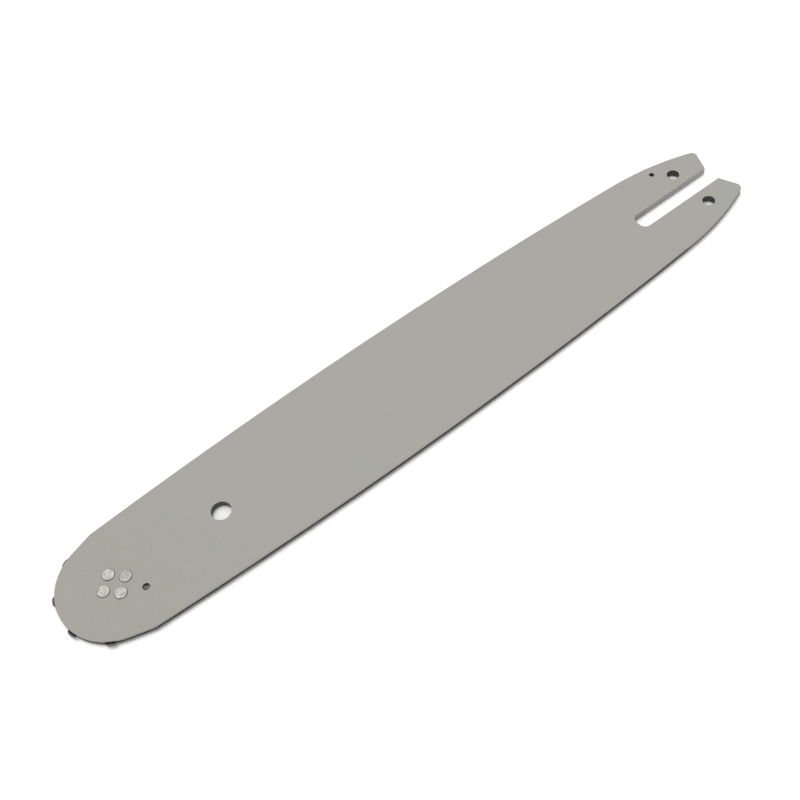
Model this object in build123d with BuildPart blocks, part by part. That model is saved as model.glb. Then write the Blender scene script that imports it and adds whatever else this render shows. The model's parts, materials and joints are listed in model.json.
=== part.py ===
from build123d import *
import math
import os

# A laminated chainsaw guide bar with a sprocket nose, lying flat on its side, in millimetres.
# It lies along X, with the nose towards -X and the tail towards +X, and Z is its thickness.
# X = 0 is the middle of its length, and Z = 0 is the surface that its rivets' ends lie on.
# Profiles are drawn about the nose centre. A station is a distance from the nose centre towards
# the tail, and a setback is a distance from the tail's tip towards the nose.

# Laminations
side_plate_thickness = 1.15
core_thickness = 1.1
groove_depth = 5.5

# Outline of the side plates
bar_length = 338.6
nose_radius = 23.1
ramp_station = 3.0
ramp_rise = 1.94
belly_station = 130.7
belly_half_width = 28.7
tail_curve_setback = 39.7
tail_curve_half_width = 23.97
tail_tip_half_width = 14.91
tail_corner_radius = 2.5

# Tail end: a stud slot between two prongs, with end faces that slant in to the slot
slot_width = 8.3
slot_depth = 48.2
slot_corner_radius = 3.0
prong_tip_offset = 12.7
end_face_slant = 22.2

# Holes
tension_hole_diameter = 5.5
tension_hole_setback = 16.5
tension_hole_offset = 10.9
hang_hole_diameter = 8.2
hang_hole_station = 48.0
oil_hole_diameter = 2.3
oil_hole_setback = 23.4
oil_hole_inset = 6.67
grease_hole_diameter = 3.0
grease_hole_stand = 0.5
grease_hole_angle = -45.3

# Nose rivets
rivet_count = 4
rivet_circle_radius = 4.87
rivet_diameter = 4.5
rivet_clearance = 0.05
rivet_stand = 0.45

# Nose bearing: a full set of short rollers between the riveted hub and the sprocket
hub_radius = 8.25
roller_diameter = 3.6
roller_spacing_clearance = 0.05
race_clearance = 0.05
side_clearance = 0.05

# Nose sprocket
tooth_count = 9
tooth_angle = 116.2
tooth_stand = 1.2
tooth_thickness = 4.26
tooth_tip_round = 1.6
pocket_relief = 0.6
sprocket_clearance = 0.8

# Stations, levels and sizes that follow from the values above
nose_x = nose_radius - bar_length / 2
tail_station = bar_length - nose_radius
tail_curve_station = tail_station - tail_curve_setback
tail_blank_length = tail_curve_setback + 2 * groove_depth
slot_bottom_station = tail_station - slot_depth
end_slope = math.tan(math.radians(end_face_slant))
end_face_station = tail_station - prong_tip_offset * end_slope
tension_hole_station = tail_station - tension_hole_setback
oil_hole_station = tail_station - oil_hole_setback
oil_hole_offset = tail_curve_half_width - oil_hole_inset
lower_plate_z = rivet_stand
core_z = lower_plate_z + side_plate_thickness
upper_plate_z = core_z + core_thickness
top_z = upper_plate_z + side_plate_thickness
middle_z = core_z + core_thickness / 2
sprocket_z = core_z + side_clearance
sprocket_thickness = core_thickness - 2 * side_clearance
bore_radius = hub_radius + roller_diameter + 2 * race_clearance
roller_circle_radius = hub_radius + race_clearance + roller_diameter / 2
roller_pitch_sine = (roller_diameter + roller_spacing_clearance) / (2 * roller_circle_radius)
roller_count = math.floor(math.pi / math.asin(roller_pitch_sine))
grease_hole_radius = bore_radius + grease_hole_stand
tooth_tip_radius = nose_radius + tooth_stand
pocket_root_radius = nose_radius - groove_depth - pocket_relief
half_pitch_sine = math.sin(math.pi / tooth_count)
pocket_radius = (pocket_root_radius * half_pitch_sine - tooth_thickness / 2) / (1 - half_pitch_sine)


def nose_plane(z):
    """A level plane with its origin on the nose axis."""
    return Plane(origin=(nose_x, 0, z))


def rail_blank():
    """The bar's outline from the nose to a square end behind the tail, before the tail is cut."""
    ramp_top = (ramp_station, nose_radius + ramp_rise)
    ramp_reach = math.hypot(*ramp_top)
    nose_end = math.atan2(ramp_top[1], ramp_top[0]) + math.acos(nose_radius / ramp_reach)
    belly = (belly_station, belly_half_width)
    rail_end = (tail_curve_station, tail_curve_half_width)
    tail_end = (tail_station, tail_tip_half_width)
    with BuildSketch() as blank:
        with BuildLine():
            nose = CenterArc((0, 0), nose_radius, 180, math.degrees(nose_end) - 180)
            Line(nose @ 1, ramp_top)
            rail = ThreePointArc(ramp_top, belly, rail_end)
            to_tip = TangentArc(rail_end, tail_end, tangent=rail % 1, mode=Mode.PRIVATE)
            tail_turn = math.degrees(tail_blank_length / to_tip.radius)
            tail = JernArc(rail_end, rail % 1, to_tip.radius, -tail_turn)
            Line(tail @ 1, ((tail @ 1).X, 0))
            mirror(about=Plane.XZ)
        make_face()
    return blank.sketch


def tail_cut():
    """What is cut from the blank at the tail: the stud slot and all behind the slanted end faces."""
    behind = 2 * tail_station
    wide = 2 * belly_half_width
    with BuildSketch() as cut:
        with BuildLine():
            Polyline(
                (end_face_station, 0),
                (end_face_station + wide * end_slope, wide),
                (behind, wide),
                (behind, -wide),
                (end_face_station + wide * end_slope, -wide),
                close=True,
            )
        make_face()
        with Locations((slot_bottom_station, 0)):
            Rectangle(behind - slot_bottom_station, slot_width, align=(Align.MIN, Align.CENTER))
        fillet(cut.vertices().group_by(Axis.X)[0], slot_corner_radius)
    return cut.sketch


def shared_holes():
    """The holes that pass through all three laminations: two for the tensioner and one to hang by."""
    with Locations((tension_hole_station, 0)):
        with GridLocations(0, 2 * tension_hole_offset, 1, 2):
            Circle(tension_hole_diameter / 2, mode=Mode.SUBTRACT)
    with Locations((hang_hole_station, 0)):
        Circle(hang_hole_diameter / 2, mode=Mode.SUBTRACT)


def rivet_holes():
    """The rivet holes round the nose centre."""
    with PolarLocations(rivet_circle_radius, rivet_count):
        Circle(rivet_diameter / 2 + rivet_clearance, mode=Mode.SUBTRACT)


os.makedirs("parts", exist_ok=True)

# Upper side plate: the stamped outline with its holes
with BuildPart() as upper_side_plate:
    with BuildSketch(nose_plane(upper_plate_z)) as plate_profile:
        add(rail_blank())
        add(tail_cut(), mode=Mode.SUBTRACT)
        fillet(plate_profile.vertices().sort_by(Axis.X)[-2:], tail_corner_radius)
        shared_holes()
        rivet_holes()
        with Locations((oil_hole_station, oil_hole_offset)):
            Circle(oil_hole_diameter / 2, mode=Mode.SUBTRACT)
        with PolarLocations(grease_hole_radius, 1, start_angle=grease_hole_angle):
            Circle(grease_hole_diameter / 2, mode=Mode.SUBTRACT)
    extrude(amount=side_plate_thickness)
upper_side_plate.part.label = "upper_side_plate"
export_step(upper_side_plate.part, "parts/upper_side_plate.step")

# Lower side plate: the same stamping turned over about the bar's long axis
with BuildPart() as lower_side_plate:
    add(upper_side_plate.part.rotate(Axis((0, 0, middle_z), (1, 0, 0)), 180))
lower_side_plate.part.label = "lower_side_plate"
export_step(lower_side_plate.part, "parts/lower_side_plate.step")

# Core plate: smaller than the side plates by the groove's depth, and hollowed round the sprocket
with BuildPart() as core_plate:
    with BuildSketch(nose_plane(core_z)):
        add(rail_blank())
        offset(amount=-groove_depth)
        Circle(tooth_tip_radius + sprocket_clearance, mode=Mode.SUBTRACT)
        add(tail_cut(), mode=Mode.SUBTRACT)
        shared_holes()
    extrude(amount=core_thickness)
core_plate.part.label = "core_plate"
export_step(core_plate.part, "parts/core_plate.step")

# Bearing hub: the inner race, clamped between the side plates by the rivets
with BuildPart() as bearing_hub:
    with BuildSketch(nose_plane(core_z)):
        Circle(hub_radius)
        rivet_holes()
    extrude(amount=core_thickness)
bearing_hub.part.label = "bearing_hub"
export_step(bearing_hub.part, "parts/bearing_hub.step")

# Nose sprocket: round pockets for the drive links leave the teeth standing between them
with BuildPart() as nose_sprocket:
    with BuildSketch(nose_plane(sprocket_z)) as tooth_profile:
        Circle(tooth_tip_radius)
        pocket_angle = tooth_angle + 180 / tooth_count
        with PolarLocations(pocket_root_radius + pocket_radius, tooth_count, start_angle=pocket_angle):
            Circle(pocket_radius, mode=Mode.SUBTRACT)
        fillet(tooth_profile.vertices(), tooth_tip_round)
        Circle(bore_radius, mode=Mode.SUBTRACT)
    extrude(amount=sprocket_thickness)
nose_sprocket.part.label = "nose_sprocket"
export_step(nose_sprocket.part, "parts/nose_sprocket.step")

# Bearing rollers, one piece each
for number in range(roller_count):
    with BuildPart() as bearing_roller:
        with BuildSketch(nose_plane(sprocket_z)):
            with PolarLocations(roller_circle_radius, 1, start_angle=number * 360 / roller_count):
                Circle(roller_diameter / 2)
        extrude(amount=sprocket_thickness)
    bearing_roller.part.label = f"bearing_roller_{number + 1:02d}"
    export_step(bearing_roller.part, f"parts/{bearing_roller.part.label}.step")

# Nose rivets: pins through both side plates and the hub, which stand a little proud of each face
with BuildPart() as nose_rivets:
    with BuildSketch(nose_plane(0)):
        with PolarLocations(rivet_circle_radius, rivet_count):
            Circle(rivet_diameter / 2)
    extrude(amount=top_z + rivet_stand)
nose_rivets.part.label = "nose_rivets"
export_step(nose_rivets.part, "parts/nose_rivets.step")
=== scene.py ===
import json
import math

import bpy
from mathutils import Euler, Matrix, Vector, noise as solid_noise


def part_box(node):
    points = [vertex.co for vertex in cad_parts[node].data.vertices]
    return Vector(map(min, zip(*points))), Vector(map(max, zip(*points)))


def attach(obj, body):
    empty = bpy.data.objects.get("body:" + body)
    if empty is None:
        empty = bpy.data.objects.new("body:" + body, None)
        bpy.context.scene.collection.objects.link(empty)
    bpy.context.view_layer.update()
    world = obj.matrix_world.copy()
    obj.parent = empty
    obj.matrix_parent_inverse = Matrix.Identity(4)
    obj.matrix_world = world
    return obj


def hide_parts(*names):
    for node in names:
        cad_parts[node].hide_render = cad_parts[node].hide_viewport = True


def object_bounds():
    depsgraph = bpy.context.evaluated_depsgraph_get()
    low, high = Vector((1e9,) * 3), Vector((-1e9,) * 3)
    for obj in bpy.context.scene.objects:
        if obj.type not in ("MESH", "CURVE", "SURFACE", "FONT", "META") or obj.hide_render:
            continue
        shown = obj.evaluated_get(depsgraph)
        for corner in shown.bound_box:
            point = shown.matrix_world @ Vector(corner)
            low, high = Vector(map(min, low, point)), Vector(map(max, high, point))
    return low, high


# The looks of a laminated chainsaw guide bar, in metres, in the frame of its solids.
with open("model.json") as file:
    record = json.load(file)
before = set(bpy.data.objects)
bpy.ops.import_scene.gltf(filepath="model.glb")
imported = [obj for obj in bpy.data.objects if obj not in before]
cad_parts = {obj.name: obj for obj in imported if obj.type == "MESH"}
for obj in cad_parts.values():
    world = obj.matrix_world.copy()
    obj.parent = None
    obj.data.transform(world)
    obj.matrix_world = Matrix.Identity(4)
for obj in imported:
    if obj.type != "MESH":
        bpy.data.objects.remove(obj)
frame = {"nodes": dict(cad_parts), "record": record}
cad_low, cad_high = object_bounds()
nodes = frame["nodes"]
MM = 0.001

# Fine forms that the solids leave out. Angles are in degrees, here and below.
edge_break = 0.12 * MM
roller_end_round = 0.25 * MM
round_segments = 2
sharp_angle = 50
flat_angle = 0.2
corner_gap = 0.0005 * MM
rivet_count = 4
rivet_flare = 0.10 * MM
rivet_rim_round = 0.12 * MM
rivet_crown = 0.05 * MM
rivet_lift = 0.01 * MM
dent_depth = 0.06 * MM
dent_size = 0.8 * MM

# Stage, and the camera's place from the nose centre on the painted face
half_floor = 40.0
sky_strength = 1.0
sun_strength = 1.1
sun_angle = 24
sun_direction = Vector((0.04, -0.16, -0.99))
camera_from_nose = Vector((-5.30, -251.28, 396.82)) * MM
camera_turns = (34.944, 5.948, -37.504)
camera_lens = 54.35
camera_sensor = 36.0
camera_clip = 0.01

# Places taken from the solids: nose axis, thickness, tooth tips, holes and rivets
hub_low, hub_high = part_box("bearing_hub")
upper_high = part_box("upper_side_plate")[1]
lower_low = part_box("lower_side_plate")[0]
nose_x, nose_y = (hub_low.x + hub_high.x) / 2, (hub_low.y + hub_high.y) / 2
nose_on_face = Vector((nose_x, nose_y, upper_high.z))
middle_z = (lower_low.z + upper_high.z) / 2
half_thickness = (upper_high.z - lower_low.z) / 2
tooth_points = [vertex.co for vertex in nodes["nose_sprocket"].data.vertices]
tip_radius = max(math.hypot(point.x - nose_x, point.y - nose_y) for point in tooth_points)
bores = [mount for mount in frame["record"]["mounts"] if mount["kind"] == "bore"]
holes = [(mount["pos_m"][:2], mount["dims"]["r_mm"] * MM) for mount in bores]


def find_rivets():
    """The centre and radius of each rivet, from the solids: the rivets share a turn evenly."""
    step = 2 * math.pi / rivet_count
    groups = {}
    for vertex in nodes["nose_rivets"].data.vertices:
        angle = math.atan2(vertex.co.y - nose_y, vertex.co.x - nose_x)
        groups.setdefault(round(angle / step) % rivet_count, []).append(vertex.co)
    for points in groups.values():
        low_x, high_x = min(p.x for p in points), max(p.x for p in points)
        low_y, high_y = min(p.y for p in points), max(p.y for p in points)
        yield (low_x + high_x) / 2, (low_y + high_y) / 2, (high_x - low_x) / 2


rivet_places = list(find_rivets())


# Shader building

def new_material(name):
    """An empty node material and its tree."""
    made = bpy.data.materials.new(name)
    made.use_nodes = True
    made.node_tree.nodes.clear()
    return made, made.node_tree


def feed(tree, socket, value):
    """Links an output to an input socket, or sets a number, a vector or a colour on it."""
    if isinstance(value, bpy.types.NodeSocket):
        tree.links.new(value, socket)
    elif socket.type == "RGBA":
        socket.default_value = (*value, 1.0)
    else:
        socket.default_value = value


def add(tree, kind, settings=None, inputs=None):
    """A node with its settings and its named inputs."""
    made = tree.nodes.new(kind)
    for name, value in (settings or {}).items():
        setattr(made, name, value)
    for name, value in (inputs or {}).items():
        feed(tree, made.inputs[name], value)
    return made


def split(tree, vector):
    """The three parts of a vector, by the names X, Y and Z."""
    return add(tree, "ShaderNodeSeparateXYZ", inputs={"Vector": vector}).outputs


def figure(tree, operation, first, second=0.0):
    """One sum on two numbers."""
    made = add(tree, "ShaderNodeMath", {"operation": operation})
    feed(tree, made.inputs[0], first)
    feed(tree, made.inputs[1], second)
    return made.outputs[0]


def noise(tree, vector, size, detail=2.0, roughness=0.5):
    """Noise whose lumps are about as long as size, from 0 to 1."""
    values = {"Vector": vector, "Scale": 1 / size, "Detail": detail, "Roughness": roughness}
    return add(tree, "ShaderNodeTexNoise", inputs=values).outputs["Fac"]


def spread(tree, value, low, high, clip=(0.3, 0.7)):
    """A value between the two clip limits, spread from low to high."""
    limits = {"From Min": clip[0], "From Max": clip[1], "To Min": low, "To Max": high}
    return add(tree, "ShaderNodeMapRange", inputs={"Value": value, **limits}).outputs["Result"]


def mixed(tree, factor, first, second, kind):
    """What goes from the first to the second with the factor, of kind RGBA or FLOAT."""
    made = add(tree, "ShaderNodeMix", {"data_type": kind}, {"Factor": factor})
    sockets = [socket for socket in made.inputs if socket.name in ("A", "B") and socket.enabled]
    feed(tree, sockets[0], first)
    feed(tree, sockets[1], second)
    return [socket for socket in made.outputs if socket.enabled][0]


def between(tree, factor, first, second):
    """A colour between two colours."""
    return mixed(tree, factor, first, second, "RGBA")


def blend(tree, factor, first, second):
    """A number between two numbers."""
    return mixed(tree, factor, first, second, "FLOAT")


def stretched(tree, coordinates, scale):
    """Coordinates scaled along each axis."""
    values = {"Vector": coordinates, "Scale": scale}
    return add(tree, "ShaderNodeMapping", inputs=values).outputs["Vector"]


def streaks(tree, place, size, squeeze, detail=4.0, roughness=0.6):
    """Noise from 0 to 1, squeezed through the thickness so that its lumps run along the edges."""
    lumps = noise(tree, stretched(tree, place, (1.0, 1.0, squeeze)), size, detail, roughness)
    return spread(tree, lumps, 0.0, 1.0)


def off_axis(tree, place, x, y):
    """The distance from the upright axis through x and y."""
    away = add(tree, "ShaderNodeVectorMath", {"operation": "DISTANCE"})
    feed(tree, away.inputs[0], stretched(tree, place, (1.0, 1.0, 0.0)))
    feed(tree, away.inputs[1], (x, y, 0.0))
    return away.outputs["Value"]


def off_middle(tree, place):
    """The distance from the middle of the thickness."""
    height = figure(tree, "SUBTRACT", split(tree, place)["Z"], middle_z)
    return figure(tree, "ABSOLUTE", height)


def in_holes(tree, place):
    """One on the walls of the round holes, and zero away from them."""
    fade_from, fade_to = 0.10 * MM, 0.25 * MM
    mask = 0.0
    for (x, y), radius in holes:
        fade = (radius + fade_from, radius + fade_to)
        on_lit_wall = spread(tree, off_axis(tree, place, x, y), 1.0, 0.0, fade)
        mask = figure(tree, "MAXIMUM", on_lit_wall, mask)
    return mask


def past_rivets(tree, place):
    """How far a place lies past the edge of the nearest rivet's head, below zero on the head."""
    nearest = 1.0
    for x, y, radius in rivet_places:
        past = figure(tree, "SUBTRACT", off_axis(tree, place, x, y), radius + rivet_flare)
        nearest = figure(tree, "MINIMUM", past, nearest)
    return nearest


def bumped(tree, height, depth, strength):
    """A surface normal for bumps of that depth."""
    values = {"Height": height, "Distance": depth, "Strength": strength}
    return add(tree, "ShaderNodeBump", inputs=values).outputs["Normal"]


def shade(tree, **inputs):
    """The surface shader and the output."""
    values = {name.replace("_", " "): value for name, value in inputs.items()}
    surface = add(tree, "ShaderNodeBsdfPrincipled", inputs=values)
    add(tree, "ShaderNodeOutputMaterial", inputs={"Surface": surface.outputs["BSDF"]})


# Materials

def coated_steel(tree, place, painted, steel):
    """Satin grey paint where painted is one, and steel of the given colour where it is zero, with
    painted shade round each rivet's foot.
    """
    cool_grey, warm_grey = (0.269, 0.270, 0.254), (0.279, 0.271, 0.249)
    nose_grey, fleck_grey = (0.275, 0.254, 0.215), (0.290, 0.283, 0.261)
    shade_and_grime_grey = (0.075, 0.073, 0.068)
    mottle_size, gloss_size, shade_and_grime_size = 34 * MM, 12 * MM, 1.8 * MM
    fleck_size, peel_size, peel_depth, peel_strength = 0.9 * MM, 0.45 * MM, 0.01 * MM, 0.35
    nose_reach, shade_and_grime_reach = (nose_x, nose_x + 70 * MM), (0.14 * MM, 0.32 * MM)
    nose_share, fleck_share, thin_shade_and_grime, full_shade_and_grime = 0.6, 0.7, 0.65, 1.0
    steel_metallic, steel_roughness, paint_roughness = 0.8, 0.44, (0.50, 0.58)

    mottle = spread(tree, noise(tree, place, mottle_size, detail=3.0), 0.0, 1.0)
    near_nose = spread(tree, split(tree, place)["X"], nose_share, 0.0, nose_reach)
    fleck = spread(tree, noise(tree, place, fleck_size), 0.0, fleck_share)
    # Painted shade: a dark ring on the paint round each rivet's foot, where its contact shadow
    # falls, broken up in patches like caked dirt.
    caked_shade_and_grime = spread(tree, noise(tree, place, shade_and_grime_size), thin_shade_and_grime, full_shade_and_grime)
    rivet_shade_and_grime = spread(tree, past_rivets(tree, place), caked_shade_and_grime, 0.0, shade_and_grime_reach)
    paint = between(tree, mottle, cool_grey, warm_grey)
    paint = between(tree, near_nose, paint, nose_grey)
    paint = between(tree, fleck, paint, fleck_grey)
    paint = between(tree, rivet_shade_and_grime, paint, shade_and_grime_grey)
    gloss = spread(tree, noise(tree, place, gloss_size), *paint_roughness)
    shade(
        tree,
        Base_Color=between(tree, painted, steel, paint),
        Metallic=blend(tree, painted, steel_metallic, 0.0),
        Roughness=blend(tree, painted, steel_roughness, gloss),
        Normal=bumped(tree, noise(tree, place, peel_size), peel_depth, peel_strength),
    )


def painted_plate():
    """Paint on the outer faces and the tail's walls, ground steel rails, and punched holes whose
    bare steel is darkened as painted shade.
    """
    dark_rail, light_rail = (0.18, 0.18, 0.173), (0.28, 0.277, 0.267)
    punched_steel_and_shade = (0.05, 0.05, 0.047)
    paint_lip = (half_thickness - 0.35 * MM, half_thickness - 0.22 * MM)
    rail_end = (upper_high.x - 44 * MM, upper_high.x - 38 * MM)

    made, tree = new_material("grey_paint")
    place = add(tree, "ShaderNodeTexCoord").outputs["Object"]
    on_face = spread(tree, off_middle(tree, place), 0.0, 1.0, paint_lip)
    on_tail = spread(tree, split(tree, place)["X"], 0.0, 1.0, rail_end)
    punched = in_holes(tree, place)
    painted = figure(tree, "MAXIMUM", on_face, figure(tree, "SUBTRACT", on_tail, punched))
    grinding = streaks(tree, place, size=6 * MM, squeeze=60.0, detail=3.0, roughness=0.5)
    ground = between(tree, grinding, dark_rail, light_rail)
    # The holes' walls: bare punched steel, darkened as painted shade in the holes.
    coated_steel(tree, place, painted, between(tree, punched, ground, punched_steel_and_shade))
    return made


def painted_core():
    """Mill steel that the paint reaches only on the walls of the slot and of the tail's end."""
    dark_mill, light_mill = (0.10, 0.10, 0.095), (0.19, 0.185, 0.175)
    punched_steel_and_shade = (0.085, 0.085, 0.08)
    turned = (0.5, 0.7)

    made, tree = new_material("core_steel")
    coordinates = add(tree, "ShaderNodeTexCoord")
    place = coordinates.outputs["Object"]
    facing = split(tree, coordinates.outputs["Normal"])
    side = figure(tree, "SIGN", figure(tree, "SUBTRACT", nose_y, split(tree, place)["Y"]))
    inwards = spread(tree, figure(tree, "MULTIPLY", side, facing["Y"]), 0.0, 1.0, turned)
    backwards = spread(tree, facing["X"], 0.0, 1.0, turned)
    punched = in_holes(tree, place)
    painted = figure(tree, "SUBTRACT", figure(tree, "MAXIMUM", inwards, backwards), punched)
    mill = between(tree, streaks(tree, place, size=5 * MM, squeeze=40.0), dark_mill, light_mill)
    # The holes' walls: bare punched steel, darkened as painted shade in the holes.
    coated_steel(tree, place, painted, between(tree, punched, mill, punched_steel_and_shade))
    return made


def bare_steel(tree, place, colour, roughness, grain):
    """The shader of bare steel, with a fine grain and a low and a high roughness."""
    metallic, grain_depth, grain_strength = 0.85, 0.02 * MM, 0.4
    height = noise(tree, place, grain, detail=3.0)
    shade(
        tree,
        Base_Color=colour,
        Metallic=metallic,
        Roughness=spread(tree, height, *roughness),
        Normal=bumped(tree, height, grain_depth, grain_strength),
    )


def ground_races():
    """The ground steel of the hub and the rollers."""
    dark, light = (0.30, 0.30, 0.29), (0.42, 0.42, 0.405)

    made, tree = new_material("race_steel")
    place = add(tree, "ShaderNodeTexCoord").outputs["Object"]
    colour = between(tree, streaks(tree, place, size=5 * MM, squeeze=50.0), dark, light)
    bare_steel(tree, place, colour, roughness=(0.30, 0.42), grain=0.4 * MM)
    return made


def shaded_and_worn_teeth():
    """The sprocket's steel: ground round the bore; oiled faces, darkened as painted shade where the
    plates shade them; and lighter worn tips where the links run, with painted light on the upright
    walls.
    """
    dark_oil_and_shade, light_oil_and_shade = (0.018, 0.018, 0.017), (0.032, 0.032, 0.031)
    dark_wear_and_light, light_wear_and_light = (0.13, 0.13, 0.127), (0.21, 0.21, 0.205)
    ground = (0.21, 0.21, 0.203)
    ring_edge = (tip_radius - 9.5 * MM, tip_radius - 6.5 * MM)
    wear_and_light_edge = (tip_radius - 0.7 * MM, tip_radius - 0.5 * MM)
    turned = (0.3, 0.8)

    made, tree = new_material("tooth_steel")
    coordinates = add(tree, "ShaderNodeTexCoord")
    place = coordinates.outputs["Object"]
    out = off_axis(tree, place, nose_x, nose_y)
    upright = figure(tree, "ABSOLUTE", split(tree, coordinates.outputs["Normal"])["Z"])
    on_ring = spread(tree, out, 1.0, 0.0, ring_edge)
    # Painted shade and light: the faces dark near the plates, where their shade falls, and the tips
    # and upright walls lighter, as if lit; partly oil and wear.
    on_worn_lit_tip = spread(tree, out, 0.0, 1.0, wear_and_light_edge)
    on_lit_wall = spread(tree, upright, 1.0, 0.0, turned)
    milling = streaks(tree, place, size=5 * MM, squeeze=30.0)
    oiled_shaded_face = between(tree, on_ring, between(tree, milling, dark_oil_and_shade, light_oil_and_shade), ground)
    worn_and_lit = between(tree, milling, dark_wear_and_light, light_wear_and_light)
    colour = between(tree, figure(tree, "MAXIMUM", on_worn_lit_tip, on_lit_wall), oiled_shaded_face, worn_and_lit)
    bare_steel(tree, place, colour, roughness=(0.40, 0.52), grain=0.5 * MM)
    return made


def peened_steel():
    """The rivets' steel: hammered ends, rims lighter in rubbed patches as a painted highlight, a
    foot darkened as painted shade, and one duller rivet.
    """
    dark_dent, light_dent = (0.39, 0.381, 0.352), (0.74, 0.724, 0.668)
    dull_steel, rim_highlight = (0.36, 0.352, 0.325), (0.75, 0.74, 0.70)
    foot_shade = (0.055, 0.055, 0.052)
    blotch_size, rubbed_highlight_size, rubbed_highlight_clip = 1.2 * MM, 2.2 * MM, (0.42, 0.62)
    dull_share, rubbed_highlight_share = 0.6, 0.75
    dull_reach = (nose_x + 2.4 * MM, nose_x + 6.0 * MM)
    rim_highlight_reach = (-0.70 * MM, -0.25 * MM)
    foot_shade_top = (half_thickness + 0.18 * MM, half_thickness + 0.34 * MM)

    made, tree = new_material("rivet_steel")
    place = add(tree, "ShaderNodeTexCoord").outputs["Object"]
    hammered = spread(tree, noise(tree, place, blotch_size, detail=3.0), 0.0, 1.0)
    tailwards = spread(tree, split(tree, place)["X"], 0.0, dull_share, dull_reach)
    # Painted highlight: the outer rim of each head lighter, in rubbed patches.
    rubbed_highlight = spread(tree, noise(tree, place, rubbed_highlight_size), 0.0, rubbed_highlight_share, rubbed_highlight_clip)
    on_rim_highlight = spread(tree, past_rivets(tree, place), 0.0, rubbed_highlight, rim_highlight_reach)
    # Painted shade: each head darker at its foot, next to the plate, where its contact shadow falls.
    in_foot_shade = spread(tree, off_middle(tree, place), 1.0, 0.0, foot_shade_top)
    colour = between(tree, hammered, dark_dent, light_dent)
    colour = between(tree, tailwards, colour, dull_steel)
    colour = between(tree, on_rim_highlight, colour, rim_highlight)
    colour = between(tree, in_foot_shade, colour, foot_shade)
    bare_steel(tree, place, colour, roughness=(0.42, 0.54), grain=0.6 * MM)
    return made


plate_paint = painted_plate()
race_steel = ground_races()
rivet_steel = peened_steel()
node_materials = {
    "upper_side_plate": plate_paint,
    "lower_side_plate": plate_paint,
    "core_plate": painted_core(),
    "nose_sprocket": shaded_and_worn_teeth(),
    "nose_rivets": rivet_steel,
}
for name, piece in nodes.items():
    piece.data.materials.clear()
    piece.data.materials.append(node_materials.get(name, race_steel))


# Broken edges on the stamped pieces, and the rollers' rounded ends

def round_edges(piece, width):
    """Rounds a piece's sharp edges, once the split corners and flat faces of its mesh are joined."""
    weld = piece.modifiers.new("joined_corners", "WELD")
    weld.merge_threshold = corner_gap
    flat = piece.modifiers.new("joined_faces", "DECIMATE")
    flat.decimate_type = "DISSOLVE"
    flat.angle_limit = math.radians(flat_angle)
    edge = piece.modifiers.new("edge_break", "BEVEL")
    edge.width = width
    edge.segments = round_segments
    edge.limit_method = "ANGLE"
    edge.angle_limit = math.radians(sharp_angle)
    edge.harden_normals = True


for name in ("upper_side_plate", "lower_side_plate", "nose_sprocket"):
    round_edges(nodes[name], edge_break)
for name in nodes:
    if name.startswith("bearing_roller"):
        round_edges(nodes[name], roller_end_round)


# Peened rivets: each end is a low crown with a rounded rim, spread a little over its hole's edge

def rivet_profile(radius, reach):
    """Distance from the axis and height of points, from the axis out over the head to the shank."""
    crown_steps, rim_steps = 24, 6
    edge, seat = radius + rivet_flare, half_thickness + rivet_lift
    flat = edge - rivet_rim_round
    rim_level = reach - rivet_crown - rivet_rim_round
    points = []
    for step in range(1, crown_steps + 1):
        out = flat * step / crown_steps
        points.append((out, reach - rivet_crown * (out / flat) ** 2))
    for step in range(1, rim_steps + 1):
        turn = math.pi / 2 * step / rim_steps
        out, up = rivet_rim_round * math.sin(turn), rivet_rim_round * math.cos(turn)
        points.append((flat + out, rim_level + up))
    return points + [(edge, seat), (radius, seat), (radius, half_thickness)]


def dented(place, up, reach):
    """A place on a rivet, pressed in by hammer dents that fade out below the head's end."""
    dent_from = 0.3
    on_end = (abs(up) - half_thickness) / (reach - half_thickness) - dent_from
    dent = dent_depth * (1 + solid_noise.noise(place / dent_size)) / 2
    return place - Vector((0.0, 0.0, math.copysign(dent * max(0.0, on_end), up)))


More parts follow.
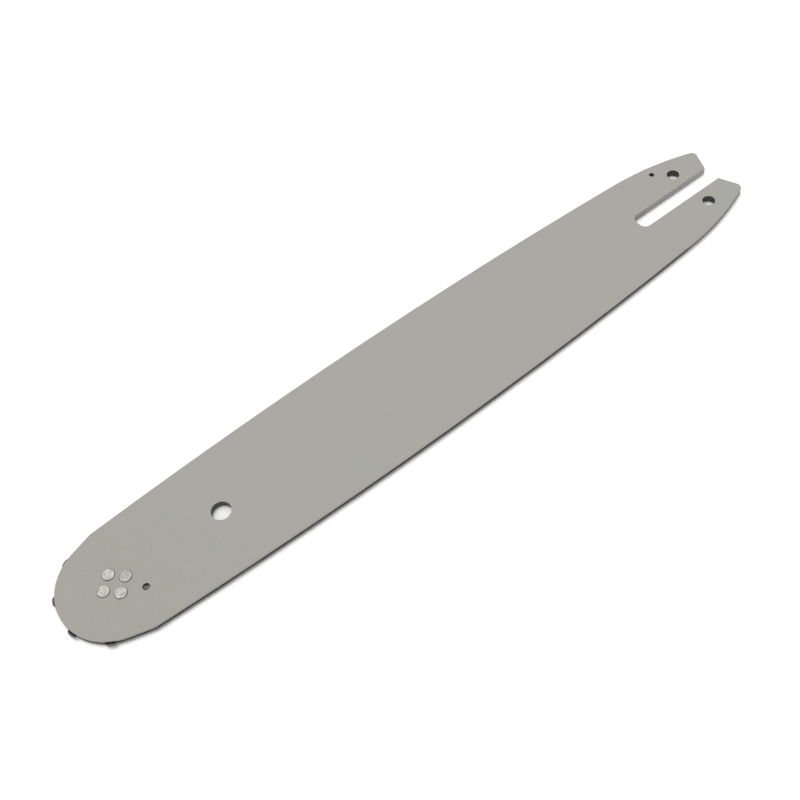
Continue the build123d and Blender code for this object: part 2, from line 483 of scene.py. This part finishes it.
def peened_rivets():
    """All the rivets as one mesh, each turned about its own axis and closed at both ends."""
    around = 48
    turns = [2 * math.pi * step / around for step in range(around)]
    low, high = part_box("nose_rivets")
    reach, level = (high.z - low.z) / 2, (high.z + low.z) / 2
    vertices, faces = [], []
    for x, y, radius in rivet_places:
        half = rivet_profile(radius, reach)
        outline = half + [(out, -up) for out, up in reversed(half)]
        first, last = len(vertices), len(vertices) + (len(outline) - 1) * around
        for out, up in outline:
            for turn in turns:
                place = Vector((x + out * math.cos(turn), y + out * math.sin(turn), level + up))
                vertices.append(dented(place, up, reach))
        pole = len(vertices)
        vertices += [(x, y, level + reach), (x, y, level - reach)]
        for step in range(around):
            after = (step + 1) % around
            for row in range(first, last, around):
                faces.append((row + step, row + around + step, row + around + after, row + after))
            faces.append((first + step, first + after, pole))
            faces.append((last + after, last + step, pole + 1))
    mesh = bpy.data.meshes.new("peened_rivets")
    mesh.from_pydata(vertices, [], faces)
    mesh.polygons.foreach_set("use_smooth", [True] * len(mesh.polygons))
    mesh.materials.append(rivet_steel)
    made = bpy.data.objects.new("peened_rivets", mesh)
    bpy.context.scene.collection.objects.link(made)
    return made


rivets = peened_rivets()
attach(rivets, "bar")
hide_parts("nose_rivets")


# Stage: a pale floor under the lower rivets' ends, with soft light from above and behind

def pale_floor():
    """A plain floor, wide enough to fill the view from any side."""
    sides = ((-1, -1), (1, -1), (1, 1), (-1, 1))
    mesh = bpy.data.meshes.new("floor")
    corners = [(x * half_floor, y * half_floor, cad_low.z) for x, y in sides]
    mesh.from_pydata(corners, [], [(0, 1, 2, 3)])
    paper, tree = new_material("floor_paper")
    shade(tree, Base_Color=(0.96, 0.96, 0.96), Roughness=0.9)
    mesh.materials.append(paper)
    made = bpy.data.objects.new("floor", mesh)
    bpy.context.scene.collection.objects.link(made)
    return made


def studio_light():
    """An even white sky, and a broad sun, almost overhead, that the steel doesn't mirror."""
    sky = bpy.data.worlds.new("studio")
    sky.use_nodes = True
    background = sky.node_tree.nodes["Background"]
    background.inputs["Color"].default_value = (1.0, 1.0, 1.0, 1.0)
    background.inputs["Strength"].default_value = sky_strength
    bpy.context.scene.world = sky
    sun = bpy.data.lights.new("key_light", "SUN")
    sun.energy = sun_strength
    sun.angle = math.radians(sun_angle)
    made = bpy.data.objects.new("key_light", sun)
    made.rotation_euler = sun_direction.to_track_quat("-Z", "Y").to_euler()
    made.visible_glossy = False
    bpy.context.scene.collection.objects.link(made)


def photo_camera():
    """The camera, at the photograph's place and angle."""
    lens = bpy.data.cameras.new("camera")
    lens.sensor_width = camera_sensor
    lens.lens = camera_lens
    lens.clip_start = camera_clip
    made = bpy.data.objects.new("camera", lens)
    made.location = nose_on_face + camera_from_nose
    made.rotation_euler = Euler([math.radians(turn) for turn in camera_turns])
    bpy.context.scene.collection.objects.link(made)
    return made


floor = pale_floor()
studio_light()
bpy.context.scene.camera = photo_camera()
bpy.context.scene.view_settings.view_transform = "Standard"
